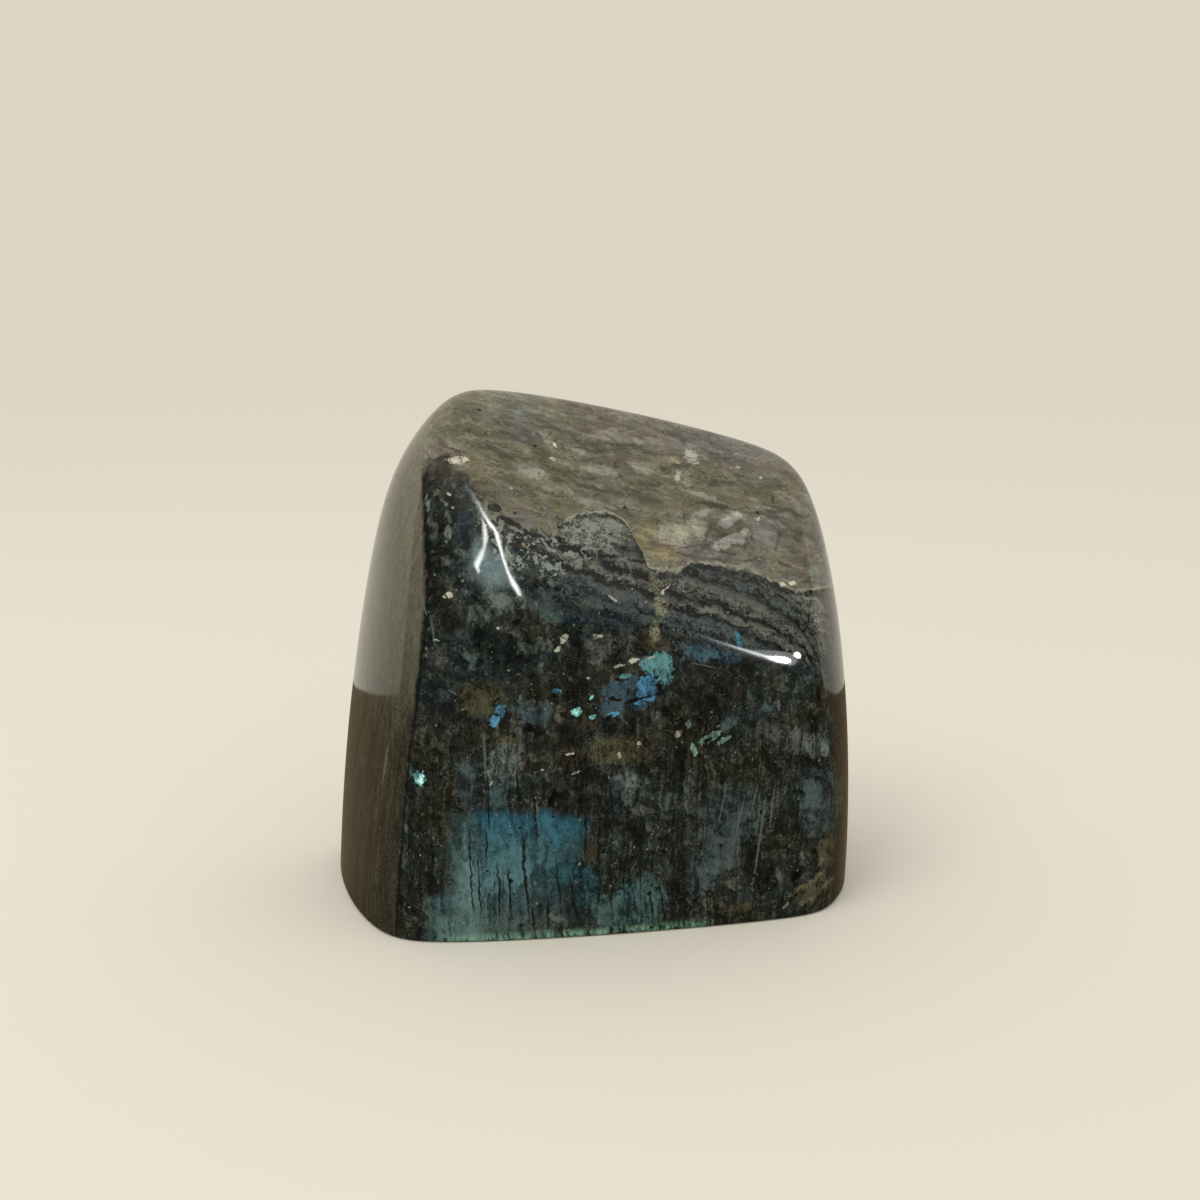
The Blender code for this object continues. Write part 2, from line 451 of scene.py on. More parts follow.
# Marks: colour, edge, half size into the stone, and for each one its middle (x, y, z), half
# length, half width and tilt
frontMarks = {
    "olive": ((0.048, 0.046, 0.025), "soft", 4, [
        (-34.8, -32.4, 60.3, 8, 6, 0), (-2, -37, 47, 13, 5, 5), (5.7, -34, 74, 5, 4, 80),
        (-28.6, -34.4, 50.8, 5, 2, 5)]),
    "silt": ((0.072, 0.084, 0.07), "soft", 4, [(-20, -37, 4.5, 8, 3.5, 0)]),
    "brown": ((0.047, 0.041, 0.024), "soft", 4, [
        (48.8, -37.9, 6.5, 9, 4.5, -28), (52, -36, 16, 4, 7, 0), (29, -39.3, 4.6, 8, 1.6, -3)]),
    "sheet": ((0.033, 0.049, 0.053), "faint", 5, [(24, -38.9, 25, 16, 11, 97), (50, -37, 30, 16, 6, 94)]),
    "greyPlate": ((0.1, 0.126, 0.114), "soft", 4, [
        (-0.5, -37.7, 37.6, 6.5, 4.4, 88), (-30.1, -34.7, 43.8, 8.5, 5.4, 92), (49, -36.5, 44, 7, 4, 20),
        (57, -30, 30, 8, 3, 88)]),
    "greyGreen": ((0.05, 0.074, 0.067), "soft", 4, [
        (-23.7, -32.8, 72.4, 3.6, 2, 10), (-37.2, -30.3, 70.4, 2.8, 1.5, 30), (-17, -32, 80, 8, 2.5, 18),
        (30.5, -32.6, 72.5, 1.2, 1, 0), (23.9, -38.9, 24.2, 1.3, 0.7, 0), (33, -37, 27, 9, 3.5, 97),
        (-51.2, -28.6, 43, 2.6, 1.3, 80)]),
    "slate": ((0.041, 0.059, 0.061), "soft", 4, [
        (18.8, -39.2, 14, 9, 7, -60), (47.1, -37.7, 31, 10, 4.4, 92), (-15, -31.5, 83, 12, 3.5, 14),
        (25.3, -37.4, 52.1, 4, 2, -30), (-24, -35, 58, 9, 3, 0), (-38, -33, 40, 9, 4, 90),
        (-33.6, -24.4, 92.4, 9, 4, 70)]),
    "cheek": ((0.094, 0.12, 0.104), "faint", 6, [
        (-30, -29.4, 83.6, 5.4, 3.03, 20), (-26.1, -25.6, 93.6, 2.5, 2.16, 63),
        (-22.4, -31.1, 82.9, 4.1, 2.09, 21), (-34.5, -29, 80.1, 3.2, 4.08, 93)]),
    "purple": ((0.068, 0.069, 0.063), "soft", 6, [
        (-43.3, -14, 98.6, 3.6, 1.8, 93), (-40.4, -20.9, 91.6, 2, 1.56, -5),
        (-35.5, -25.6, 88.4, 2.9, 1.11, 99), (40, -37, 47, 10, 5, 20), (2.9, -38.1, 31.8, 3, 2.01, 4),
        (-7.2, -34.8, 70.1, 3.4, 2.38, 2), (-5.7, -34.6, 71.9, 5.3, 4.26, 2)]),
    "umber": ((0.034, 0.027, 0.017), "soft", 4, [
        (-9.3, -36.1, 53.3, 3.6, 2.68, 3), (9, -34.8, 72.1, 3, 2.11, 22), (-12.7, -36.4, 45.8, 6, 2.94, 8),
        (3.1, -37.2, 48, 7.4, 3.19, 8), (-9.3, -37.6, 22, 4.6, 3, 65), (4.2, -33.9, 75.6, 3.6, 1.98, 100)]),
    "sand": ((0.082, 0.074, 0.046), "crisp", 4, [
        (43.1, -38.8, 7, 3.6, 0.7, -36), (48.5, -37.6, 9.5, 4.2, 0.9, -32), (53, -36, 7.5, 2.6, 0.8, -24),
        (46.5, -38.5, 4, 3, 0.6, -12), (50, -36.8, 13.5, 2.5, 0.5, -50)]),
    "shade": ((0.007, 0.008, 0.007), "soft", 5, [
        (-22.7, -35.2, 48.7, 3.3, 2.19, 2), (-40.6, -26.5, 79.1, 5.3, 4.12, 83),
        (-11.2, -34, 74, 6.1, 0.8, 94), (-44.5, -30.3, 57.8, 10, 2.6, 90)]),
    "night": ((0.036, 0.072, 0.095), "soft", 5, [
        (19.7, -35, 69.9, 7.5, 3.6, 15), (25.7, -35.1, 68.3, 4, 3, 13)]),
    "ink": ((0.018, 0.03, 0.038), "soft", 6, [
        (-0.8, -33.4, 77.7, 7, 2.6, 10), (-11.2, -33, 79.1, 7, 2.2, 7), (-35.9, -18.7, 99.6, 6, 3.2, 106),
        (17.1, -32.1, 76.6, 7, 2, 20), (-3.2, -37.7, 35, 7, 2.8, 90)]),
    "dusk": ((0.026, 0.048, 0.064), "crisp", 4, [
        (-0.9, -36, 61.4, 5.8, 3.4, -5), (-3.6, -36.2, 57.6, 3.6, 1.9, -7),
        (3.2, -36.5, 57.6, 2.9, 1.22, -5), (0.8, -35.8, 64.5, 2.9, 1.21, -12)]),
    "faintTeal": ((0.034, 0.06, 0.064), "soft", 4, [
        (25.6, -37.4, 52.3, 2.3, 1.24, 4), (30.2, -36.6, 59.9, 2.2, 0.64, 86),
        (34.9, -37, 54.7, 2.6, 1.27, -10), (-19.3, -35.3, 52.2, 0.7, 0.49, 2),
        (-21.6, -34.8, 55.4, 4.7, 2.66, 2), (-24.8, -34.2, 58.9, 1.2, 0.96, 2),
        (-30.5, -34.9, 37.5, 5.5, 4.2, 90), (-45, -33, 9, 6, 4, 20)]),
    "lowDeep": ((0.018, 0.056, 0.067), "soft", 4, [
        (-9.7, -38.1, 12.5, 8, 4.5, 90), (-14.5, -37.8, 17, 7, 4, 10), (1, -38.8, 9.5, 6, 4, 80)]),
    "lowFar": ((0.056, 0.108, 0.104), "faint", 4, [(3.2, -38.9, 8.5, 9, 9, 90), (-3, -38.7, 6, 9, 7, 0)]),
    "teal": ((0.066, 0.162, 0.166), "crisp", 4, [
        (7.3, -35.6, 67.8, 4.4, 2.6, -12), (10, -35.9, 66.2, 4.2, 1.8, 89),
        (-0.4, -35.7, 65, 1.7, 0.73, -7), (8.9, -36.3, 62.4, 1.4, 0.62, 96),
        (8.2, -36, 64.6, 2.2, 1.7, 80)]),
    "green": ((0.13, 0.215, 0.175), "crisp", 4, [
        (20.7, -37.6, 48.9, 3.4, 1.28, -27), (24, -37.7, 48, 2.5, 0.78, -29),
        (16.5, -37.7, 46, 2.3, 0.74, 70), (15.2, -37.3, 52.5, 1, 0.74, 80)]),
    "azure": ((0.05, 0.165, 0.26), "crisp", 4, [
        (4.9, -36.2, 61.6, 3.8, 3, 96), (3.2, -36.4, 58.5, 1.9, 0.99, -17),
        (-3.4, -36.3, 55.9, 1.7, 0.74, -13), (-30.1, -33.5, 57.8, 1.7, 1.3, 96),
        (-31.6, -33.5, 55.2, 1.8, 1.1, 116), (-17, -34.8, 62, 1.4, 0.72, 12),
        (6.2, -36, 64.7, 1.2, 0.73, 81)]),
    "mint": ((0.22, 0.58, 0.54), "crisp", 2.5, [
        (-12.1, -35.6, 56.9, 1.5, 1.2, 20), (-8.4, -35.6, 60.3, 1.1, 0.5, -50),
        (-8.5, -36, 55.5, 1.1, 0.5, -15), (-49.3, -29.8, 41.2, 2.2, 1.5, 72)]),
    "spark": ((0.42, 0.78, 0.76), "crisp", 2.5, [
        (-49.2, -29.8, 41, 1.7, 1.1, 75), (-12.3, -35.6, 56.7, 0.8, 0.6, 20)]),
    "cream": ((0.29, 0.285, 0.225), "crisp", 3, [
        (-14.7, -33.6, 74.4, 1.5, 1, -60), (-16.2, -33.6, 72, 1.2, 0.5, -50),
        (-6.6, -34.2, 74.6, 1.3, 1, 0), (-1.6, -35.4, 67.5, 1.7, 0.6, -10),
        (1.9, -35.4, 68.6, 1.5, 0.5, -12), (6.3, -35.5, 69.2, 1.1, 0.45, 0),
        (12.5, -37.4, 50.3, 1.4, 0.8, -40), (-2.1, -37.1, 45.8, 1, 0.6, 70),
        (3.1, -37.2, 48.3, 0.9, 0.4, 10), (-27.9, -32.9, 67.1, 0.5, 0.4, 0),
        (-30, -30.9, 77.2, 0.5, 0.4, 0), (-9.3, -35.2, 64.9, 0.6, 0.45, -30),
        (-20.5, -35.8, 43, 0.6, 0.45, 20), (-33.3, -34.3, 42.4, 1.2, 0.35, 75),
        (-32.6, -34.3, 40.4, 1, 0.35, -60), (40.7, -39.1, 3.9, 1.2, 0.6, -50),
        (39.5, -28.7, 75.9, 1.1, 0.35, 60), (30, -28.2, 78.8, 0.6, 0.5, 0),
        (20.8, -29.7, 79.1, 0.5, 0.4, 0), (37.9, -31.3, 72.8, 0.6, 0.4, 0),
        (-40.5, -24.5, 84.3, 0.9, 0.67, -5), (-41.7, -24, 83.7, 0.4, 0.34, -5),
        (-13.7, -36.2, 46.6, 1.2, 0.39, -8), (-12.8, -36.6, 41.9, 1.7, 0.35, -13),
        (-44.2, -26, 73.8, 0.6, 0.33, 15)]),
    "soot": ((0.003, 0.003, 0.003), "crisp", 6, [
        (-2.6, -36.1, 59.5, 2.1, 0.5, 14), (1.2, -36.3, 58.9, 2.2, 0.6, -16),
        (4.6, -36.4, 59.6, 1.8, 0.45, -8), (7.4, -36.1, 64.4, 0.7, 0.5, 0), (-1.6, -36, 64.2, 1.4, 0.5, 5),
        (20, -37.6, 48.2, 1.5, 0.5, -22), (-25.8, -31.5, 78.6, 1.2, 0.8, -30),
        (-23.3, -34.8, 53.3, 1.2, 0.6, 60), (-30.9, -33.1, 60.2, 1.2, 0.4, -25),
        (-17.5, -34.6, 60.5, 1.8, 0.4, -10), (-4.5, -36.6, 55.2, 1.4, 0.6, -30), (53, -31, 47, 2, 0.5, 85),
        (-18.3, -37, 36, 2.6, 0.9, 110), (44, -38, 12, 3, 1.4, -40)]),
}

backMarks = {
    "backSheet": ((0.026, 0.078, 0.098), "faint", 9, [
        (24, 33, 44, 17, 8, -24), (34, 33, 36, 9, 5, 40), (14, 34, 51, 8, 4, 10)]),
    "backTeal": ((0.055, 0.125, 0.12), "crisp", 9, [
        (27, 33, 47, 6, 2.4, -20), (17, 34, 43, 3, 1.2, 15), (-22, 33, 62, 2.4, 1, 70)]),
    "backOlive": ((0.046, 0.044, 0.026), "soft", 9, [(-24, 34, 30, 12, 6, 12), (-8, 34, 62, 9, 4, -10)]),
    "backCream": ((0.26, 0.25, 0.19), "crisp", 9, [
        (-12, 34, 47, 1.3, 0.6, 40), (4, 34, 28, 1, 0.6, -30), (38, 33, 62, 1.2, 0.5, 70)]),
}

beltMarks = {  # on the slope, under the cap's edge
    "eyelid": ((0.125, 0.126, 0.096), "whole", 8, [(-2.5, -18.8, 97.4, 11, 4.4, 9)]),
    "drip": ((0.165, 0.155, 0.094), "faint", 8, [
        (9.5, -26.8, 85.5, 3.2, 2.09, 21), (9.5, -30.5, 80.8, 4.3, 2.34, 95),
        (7.5, -33.8, 75.4, 3.2, 1.76, 95)]),
    "feather": ((0.15, 0.147, 0.117), "faint", 8, [
        (53, -25.5, 75.5, 9, 3.6, 76), (49.5, -24, 79.5, 4, 2.2, 40)]),
    "wink": ((0.036, 0.115, 0.175), "crisp", 4, [
        (28.6, -33, 72.6, 1.3, 0.7, 92), (28.7, -33.6, 70.6, 1.5, 0.9, 92)]),
}

edgeMarks = {  # over the cap's edge
    "notch": ((0.022, 0.018, 0.011), "soft", 8, [
        (-39, -5, 114, 3.6, 2, -8), (-40.3, -6.5, 111.5, 3.8, 2.63, -12),
        (-35.1, -10.2, 110.3, 2.2, 1.7, 41), (-39.6, -10.4, 107.5, 1.7, 1.94, 63),
        (-43.6, -7.1, 107.2, 1.8, 1.12, 96)]),
    "coal": ((0.006, 0.006, 0.005), "crisp", 8, [
        (-38.4, -12.9, 105.4, 1.9, 0.95, 75), (-28.5, -17.2, 103.7, 1.9, 1, 11),
        (-25.1, -19.9, 100.6, 3.6, 0.7, 28), (-19.7, -22, 97.6, 3.1, 0.66, 14),
        (-2, -23.5, 92, 4.1, 0.44, 8), (5.5, -23.3, 90.4, 2.6, 0.45, 12)]),
    "swirl": ((0.16, 0.135, 0.075), "faint", 8, [
        (-31.1, -8.4, 112.7, 4.2, 1.65, 20), (-33.4, -5.7, 115.2, 2.8, 0.59, 15),
        (-28.9, -11.4, 109.8, 2.6, 1.25, 52)]),
    "ash": ((0.09, 0.096, 0.075), "crisp", 8, [
        (-40.6, -11, 105.9, 2.7, 0.73, 63), (-39.3, -15.1, 101.8, 1.9, 0.7, 80),
        (-39.9, -17.5, 97.8, 2.3, 0.87, 105), (-43.9, -9.4, 104.1, 2.7, 0.56, 93),
        (-45.8, -11.8, 98.1, 3.2, 0.44, 99), (-45.4, -0.7, 111.4, 3.8, 0.42, 106),
        (-14.7, -18.8, 100.1, 1.5, 1.27, 101), (-15.7, -16.4, 102.7, 1.9, 0.72, 123)]),
    "chips": ((0.34, 0.32, 0.24), "crisp", 6, [
        (-35.9, -6.1, 114.3, 3.3, 1.1, -5), (-11.8, -4.2, 113.8, 0.9, 0.4, 26),
        (-10.2, -0.5, 116.7, 0.9, 0.27, 48), (-23.5, -12.7, 107.9, 0.5, 0.44, 2),
        (-38.6, -12, 106.5, 0.6, 0.45, -3), (-38.2, -14.3, 103.8, 0.5, 0.36, -3),
        (39.5, 2.4, 109.7, 0.9, 0.37, 2), (45.1, 0.5, 106.9, 0.7, 0.49, 3),
        (40.9, -9.4, 97.6, 0.9, 0.38, 3), (43.5, -22.2, 82.9, 1.1, 0.43, 12),
        (46.8, -21.5, 82.7, 1.3, 0.68, 5), (10.9, -28.2, 83.5, 0.7, 0.54, 4),
        (12.4, -27.1, 84.4, 1.2, 0.28, -45), (-2.4, -30.8, 83.1, 1.2, 0.35, 35)]),
    "rust": ((0.25, 0.17, 0.08), "crisp", 6, [(-22.4, -24, 95.7, 0.8, 0.3, 46)]),
}

capMarks = {
    "greenish": ((0.285, 0.275, 0.195), "soft", 8, [
        (17.2, -15.8, 95.8, 7.1, 4.48, 3), (23.5, -13.8, 96.5, 3.4, 3.58, 106)]),
    "mauve": ((0.108, 0.097, 0.071), "soft", 8, [
        (11.9, -8.8, 104.1, 5.8, 2.4, 11), (49.3, -12.8, 92.1, 5.6, 5.31, 108),
        (45, 1, 107.4, 8.4, 4.72, 11), (-26.9, 4.7, 124.1, 6.2, 1.96, 15),
        (-25.8, -13.6, 107.3, 6.1, 2.7, 11)]),
    "heather": ((0.112, 0.104, 0.082), "crisp", 8, [
        (-20.6, -18.8, 101.2, 3.5, 1.75, 7), (-24, -19, 101.5, 3, 1.6, 20)]),
    "straw": ((0.285, 0.256, 0.162), "soft", 8, [(19.7, 0.9, 112, 5, 1.7, 4)]),
    "mist": ((0.135, 0.14, 0.122), "soft", 8, [
        (-17.2, 7.5, 124.7, 4.3, 2.13, 2), (54, -17.8, 83.9, 5.4, 2.74, 86),
        (36, 7.9, 115.1, 3.7, 1.72, 20)]),
    "gold": ((0.262, 0.212, 0.104), "glow", 8, [
        (12.9, -20.6, 92, 8, 4.2, 6), (8.6, -18.7, 95, 3.6, 3.4, 66), (10.5, -17, 97.5, 3.5, 3, 30),
        (16.1, -21.6, 89.7, 3.2, 1.6, -4)]),
    "bark": ((0.064, 0.055, 0.039), "soft", 8, [
        (48, -6.9, 98.8, 6.6, 1.16, -1), (33, -2.9, 105.8, 6.7, 0.54, 7), (20.8, -7.2, 103.8, 3.7, 0.5, 16),
        (-24.3, 3, 122.4, 4.2, 0.64, 31), (14.2, -5, 107.4, 4.9, 1.43, 7),
        (-10.7, -8.9, 109, 3.4, 0.74, 26)]),
    "slab": ((0.12, 0.117, 0.09), "soft", 8, [
        (42.7, -12.2, 94.3, 4, 3.03, 3), (37.5, -19.2, 87.7, 5.3, 1.13, 4),
        (45.8, -20.1, 84.7, 4.6, 1.82, 4)]),
    "plate": ((0.205, 0.206, 0.172), "soft", 8, [
        (34.5, -9.7, 98.6, 5, 1.5, -3), (25.3, -10.1, 100, 4, 1.5, -12)]),
    "pane": ((0.31, 0.31, 0.258), "whole", 6, [
        (30.8, -15.6, 93, 6, 2.1, -18), (33.1, -10.8, 97.8, 5, 1.4, -14),
        (35.6, -14.2, 93.8, 3.4, 1.7, -30)]),
    "dusky": ((0.135, 0.134, 0.108), "whole", 6, [
        (41.5, -13.8, 92.8, 4.4, 2.6, -12), (36.5, -20.2, 86.9, 6, 1.5, 0)]),
    "pale": ((0.215, 0.201, 0.155), "soft", 8, [
        (-18.1, -8.1, 111.4, 5.9, 2.2, 21), (-5.1, -12.4, 104.3, 6.4, 1.93, 21),
        (0.4, -4.6, 110.7, 7.7, 1.5, 16), (9.2, 4.8, 117.5, 7.2, 1.21, 13),
        (6.4, 6.5, 119.5, 2.85, 0.92, 11), (11.4, -2.4, 110.5, 4.5, 1.42, 26),
        (4.8, 5.4, 118.8, 5.55, 0.74, 13), (28.5, -6.3, 103.2, 5.55, 1.15, 16),
        (43.9, -6.6, 99.9, 4.95, 0.54, 11), (-13.7, 2.1, 119.8, 1.95, 0.5, 60),
        (-4, -1, 115, 3.75, 0.68, 21), (-9.2, -4.9, 112.5, 3.6, 0.9, 26),
        (23.9, -5.6, 104.8, 3.9, 0.74, 16), (39.4, 5.6, 112.6, 2.1, 0.58, 11)]),
    "block": ((0.3, 0.295, 0.23), "crisp", 5, [
        (26.6, 3.3, 112.8, 2.1, 2.4, 69), (27.5, 1.6, 111.2, 1.4, 0.73, 2),
        (21.6, -2.2, 108.6, 2, 0.67, 117)]),
    "seam": ((0.052, 0.045, 0.032), "line", 8, [
        (9.5, 3, 115.9, 6.16, 0.64, 6), (23.6, 0.3, 110.6, 5.46, 0.64, 4),
        (36.6, -14.5, 93.1, 4.2, 0.64, 126), (27.6, -15.9, 93.4, 6.02, 0.56, -23),
        (4, 1, 115.1, 6.3, 0.72, -2), (-19.4, -0.8, 118.4, 8.12, 0.72, 26),
        (-25.1, -4.6, 115.9, 6.58, 0.72, 29), (-8.2, 4, 120.2, 7.28, 0.64, 13),
        (38.6, -1.6, 106, 8.68, 0.72, 6), (29.1, -8, 101.4, 9.66, 0.72, 13),
        (45.3, -13.5, 92.3, 4.3, 0.6, 125), (26.3, -14.2, 95.5, 5.1, 0.5, 130),
        (36.7, -18.5, 88.6, 6.2, 0.45, 1), (43.4, -8.3, 98.4, 8.3, 0.5, 10),
        (-0.6, -9.4, 106.3, 9.24, 0.72, 15), (30.5, 8.4, 116.5, 6.16, 0.64, 13)]),
}

cracks = [  # near-vertical planes that the lower front cuts across
    (-25.1, -36.5, 16.5, 19, 0.62, 86), (-26.4, -35.4, 38.5, 8.5, 0.5, 90),
    (-22.6, -36.2, 33, 14, 0.42, 88), (-34.3, -35.1, 24.5, 8.5, 0.36, 89), (-38.1, -34.7, 18, 18, 0.32, 88),
    (-31.6, -35.9, 13, 12, 0.42, 88), (-19.9, -37.3, 7, 8, 0.6, 88), (-13.6, -37.8, 10, 10, 0.5, 79),
    (-7.4, -37.8, 23, 25, 0.48, 90), (-3.9, -37.7, 34, 7, 0.45, 87), (3, -38.4, 20, 21, 0.32, 90),
    (6, -39, 7, 6, 0.45, 80), (-0.8, -38.8, 7, 6, 0.3, 83), (1.4, -38.8, 8, 7, 0.3, 84),
    (4.4, -38.9, 8, 6.5, 0.28, 82), (-28.4, -35.8, 36, 6, 0.3, 91), (13.2, -39, 18, 16, 0.5, 82),
    (11.2, -38.4, 24, 9, 0.35, 86), (-29, -36.2, 13, 12, 0.4, 87), (-36.2, -35.2, 14, 13, 0.34, 88),
    (-17, -37.6, 13, 12, 0.34, 85), (-10.6, -37.9, 27, 12, 0.4, 89), (-23.3, -36.8, 6, 7, 0.36, 84),
    (8.6, -39, 8, 9, 0.36, 82), (10.4, -39.1, 9, 8, 0.3, 82), (-4.6, -38.3, 14, 12, 0.36, 88),
    (19.5, -39, 33, 14, 0.3, 84), (-33.4, -34.4, 34, 9, 0.3, 90)]

scratches = [  # pale lines, in the same planes
    (33.4, -38.8, 22, 17, 0.5, 97.8), (36.6, -38.4, 30.1, 8.5, 0.42, 96.3),
    (28.1, -38.7, 27.7, 9, 0.34, 103.2), (31.8, -38.5, 32.3, 5, 0.4, 103),
    (23.6, -38.6, 31.2, 9.5, 0.28, 101.5), (-34.1, -33.9, 46.5, 9, 0.5, 90), (-43.6, 4, 119, 5, 0.35, 118),
    (-56.8, -20.5, 42.1, 8.6, 0.34, 99.2), (19.4, -35.8, 66.5, 4.8, 0.28, 15), (-41, -30.5, 62, 2, 0.3, 35),
    (-44.8, -25, 75.6, 5.3, 0.3, 85), (-46.4, -21.1, 81.2, 3.4, 0.3, 78),
    (52.2, -28.5, 69.4, 5.7, 0.35, 79), (51.2, -23.2, 78.6, 3.7, 0.31, 64),
    (58.2, -18.1, 77.2, 4.8, 0.5, 83), (-22.7, -34.5, 58, 2.1, 0.25, -3)]


def nearMarks(place, rows, depth):  # 1 in the middle of a mark, 0 outside them all
    near = 0
    for x, y, z, halfLong, halfWide, tilt in rows:
        ball = follow("ShaderNodeTexGradient", {0: place}, gradient_type="SPHERICAL")
        inMark = ball.texture_mapping
        inMark.vector_type = "TEXTURE"
        inMark.translation = (x, y, z)
        inMark.rotation = (0, math.radians(tilt), 0)
        inMark.scale = (halfLong, max(depth, halfWide), halfWide)
        near = calc("MAXIMUM", near, ball.outputs["Fac"])
    return near


def drawMarks(colour, kinds, stone, lit):
    drawn, bare = (0, 0, 0), 1  # the marks' own colour, and how much of what is under them shows
    for tone, edge, depth, rows in kinds.values():
        full, most, tear = markEdges[edge]
        near = nearMarks(stone.fine if tear > 0.5 else stone.ragged, rows, depth)
        torn = calc("MULTIPLY_ADD", stone.tear, tear, near)
        torn = calc("MINIMUM", torn, times(near, 4))
        mask = between(torn, 0.08, full, 0, most)
        drawn = painted(mask, drawn, tone)
        bare = times(bare, minus(1, mask))
    return vecCalc("ADD", scaled(colour, bare), scaled(drawn, lit))


def capHeight(x):
    left, width, height = edgeSpan
    node = follow("ShaderNodeFloatCurve", {"Value": divided(plus(x, -left), width)})
    curve = node.mapping.curves[0]
    first, *others, last = [((across - left) / width, up / height) for across, up in capEdge]
    for place in others:
        curve.points.new(*place)
    curve.points[0].location, curve.points[-1].location = first, last
    node.mapping.update()
    return times(node.outputs[0], height)


def capColour(stone):
    drifting = shifted(stone.ragged, 18, 3)
    streaks = streaksAt(drifting, (10, 6, 2.5), 5, 0.68, 15, -6)
    clouds = noiseAt(drifting, 8, 4, 0.6)
    plates = flakesAt(drifting, (6, 5, 2.6), 28, -6)
    slivers = flakesAt(stone.fine, (3, 2, 0.8), 12, -6)
    tone = blended((streaks, 1.05), (clouds, 0.36), (plates, 0.2), (slivers, 0.23),
                   (stone.grit, 0.46))
    colour = toned(tone, finish["capTones"])

    fold = streaksAt(drifting, (11, 6, 1.9), 2, 0.5, 17, -6)
    darkCrease, paleCrease = finish["capCreases"]
    crease = times(lineAt(minus(fold, 0.45), 0.022, 0.006), between(clouds, 0.42, 0.54, 0, 0.85))
    colour = painted(crease, colour, darkCrease)
    crease = times(lineAt(minus(fold, 0.57), 0.02, 0.005), between(streaks, 0.44, 0.56, 0, 0.75))
    colour = painted(crease, colour, paleCrease)

    tint = split(noiseAt(stone.place, 19, 1, colour=True))
    purple, yellow, cool = finish["capTints"]
    purple, yellow = vecCalc("MULTIPLY", colour, purple), vecCalc("MULTIPLY", colour, yellow)
    colour = painted(between(tint[0], 0.4, 0.6), purple, yellow)
    cool = vecCalc("MULTIPLY", colour, cool)
    colour = painted(between(tint[1], 0.5, 0.66), colour, cool)
    colour = drawMarks(colour, capMarks, stone, between(tone, 0.25, 0.75, 0.6, 1.45))
    return scaled(colour, between(stone.placeX, 15, 45, 1, 1.12))


# The belt's dark and grey layers, which run down to the right: level and colour
beltLayers = [
    (78, (0.018, 0.022, 0.022)), (78.8, (0.008, 0.01, 0.01)), (80, (0.045, 0.052, 0.048)),
    (81.2, (0.035, 0.045, 0.046)), (81.8, (0.01, 0.013, 0.013)), (82.6, (0.036, 0.047, 0.05)),
    (84.4, (0.05, 0.058, 0.055)), (85.2, (0.006, 0.008, 0.007)), (86.2, (0.006, 0.008, 0.007)),
    (87, (0.1, 0.1, 0.08)), (88, (0.085, 0.085, 0.065)), (88.6, (0.004, 0.005, 0.004)),
    (89.8, (0.004, 0.005, 0.004)), (90.6, (0.06, 0.062, 0.05)), (91.8, (0.09, 0.09, 0.072)),
    (93.6, (0.05, 0.055, 0.046)), (94.5, (0.007, 0.008, 0.007)), (95.5, (0.009, 0.01, 0.008)),
    (96.3, (0.045, 0.055, 0.05)), (97.4, (0.03, 0.036, 0.034)), (98.2, (0.008, 0.009, 0.008)),
    (99.5, (0.08, 0.086, 0.071)), (101, (0.016, 0.017, 0.014)), (102.5, (0.08, 0.086, 0.07)),
    (109, (0.085, 0.088, 0.07)), (110, (0.018, 0.019, 0.016)), (111, (0.095, 0.096, 0.075))]
beltSpan = (76, 36)  # the lowest level, and how far the layers reach


def beltLevel(x, z):
    level = calc("MULTIPLY_ADD", x, 0.4, z)
    for start, bend in ((34, 0.02), (44, 0.1)):
        past = calc("MAXIMUM", minus(x, start), 0)
        level = calc("MULTIPLY_ADD", times(past, past), bend, level)
    return level


def beltColour(stone):  # and how brightly it is lit
    lowest, reach = beltSpan
    sway = noiseAt(stone.place, 7, 2, 0.6)
    jitter = blended((sway, 4.6), (stone.crumbs, 1.1), (stone.grit, 1.2), middle=0)
    level = plus(beltLevel(stone.x, stone.z), jitter)
    share = divided(minus(level, lowest), reach)
    colour = toned(share, [((height - lowest) / reach, tone) for height, tone in beltLayers])
    runs = streaksAt(stone.ragged, (9, 12, 1.5), 3, 0.6, 23)
    colour = painted(between(runs, 0.52, 0.66, 0, 0.7), colour, finish["beltSmear"])
    lit = blended((runs, 1.1), (stone.crumbs, 0.25), (stone.grit, 1.2))
    lit = between(lit, 0.25, 0.75, 0.38, 1.85)
    return scaled(colour, lit), lit


def darkColour(stone):  # and its tone
    broad = streaksAt(stone.fine, (5, 8, 19), 2, 0.5, 3)
    blocks = flakesAt(stone.ragged, (8.5, 7, 3.8), 84, 8, "CHEBYCHEV")
    flakes = flakesAt(stone.fine, (2.9, 3, 1.9), 32)
    lines = streaksAt(stone.ragged, (0.6, 0.8, 26), 2, 0.6, 3)
    low = between(stone.placeZ, 66, 40, 0.15, 1)
    lines = calc("MULTIPLY_ADD", minus(lines, 0.5), low, 0.5)
    tone = blended((broad, 0.42), (blocks, 0.19), (flakes, 0.2), (stone.crumbs, 0.15),
                   (stone.grit, 0.55), (stone.strips, 0.5), (lines, 0.66), (stone.mottle, 0.08))
    colour = toned(tone, finish["bodyTones"])
    tint = noiseAt(stone.ragged, 12, 3, 0.6)
    brown, teal = [vecCalc("MULTIPLY", colour, part) for part in finish["bodyTints"]]
    return painted(between(tint, 0.38, 0.62), brown, teal), tone


flashHeight = 42  # what the tones of the low flash span


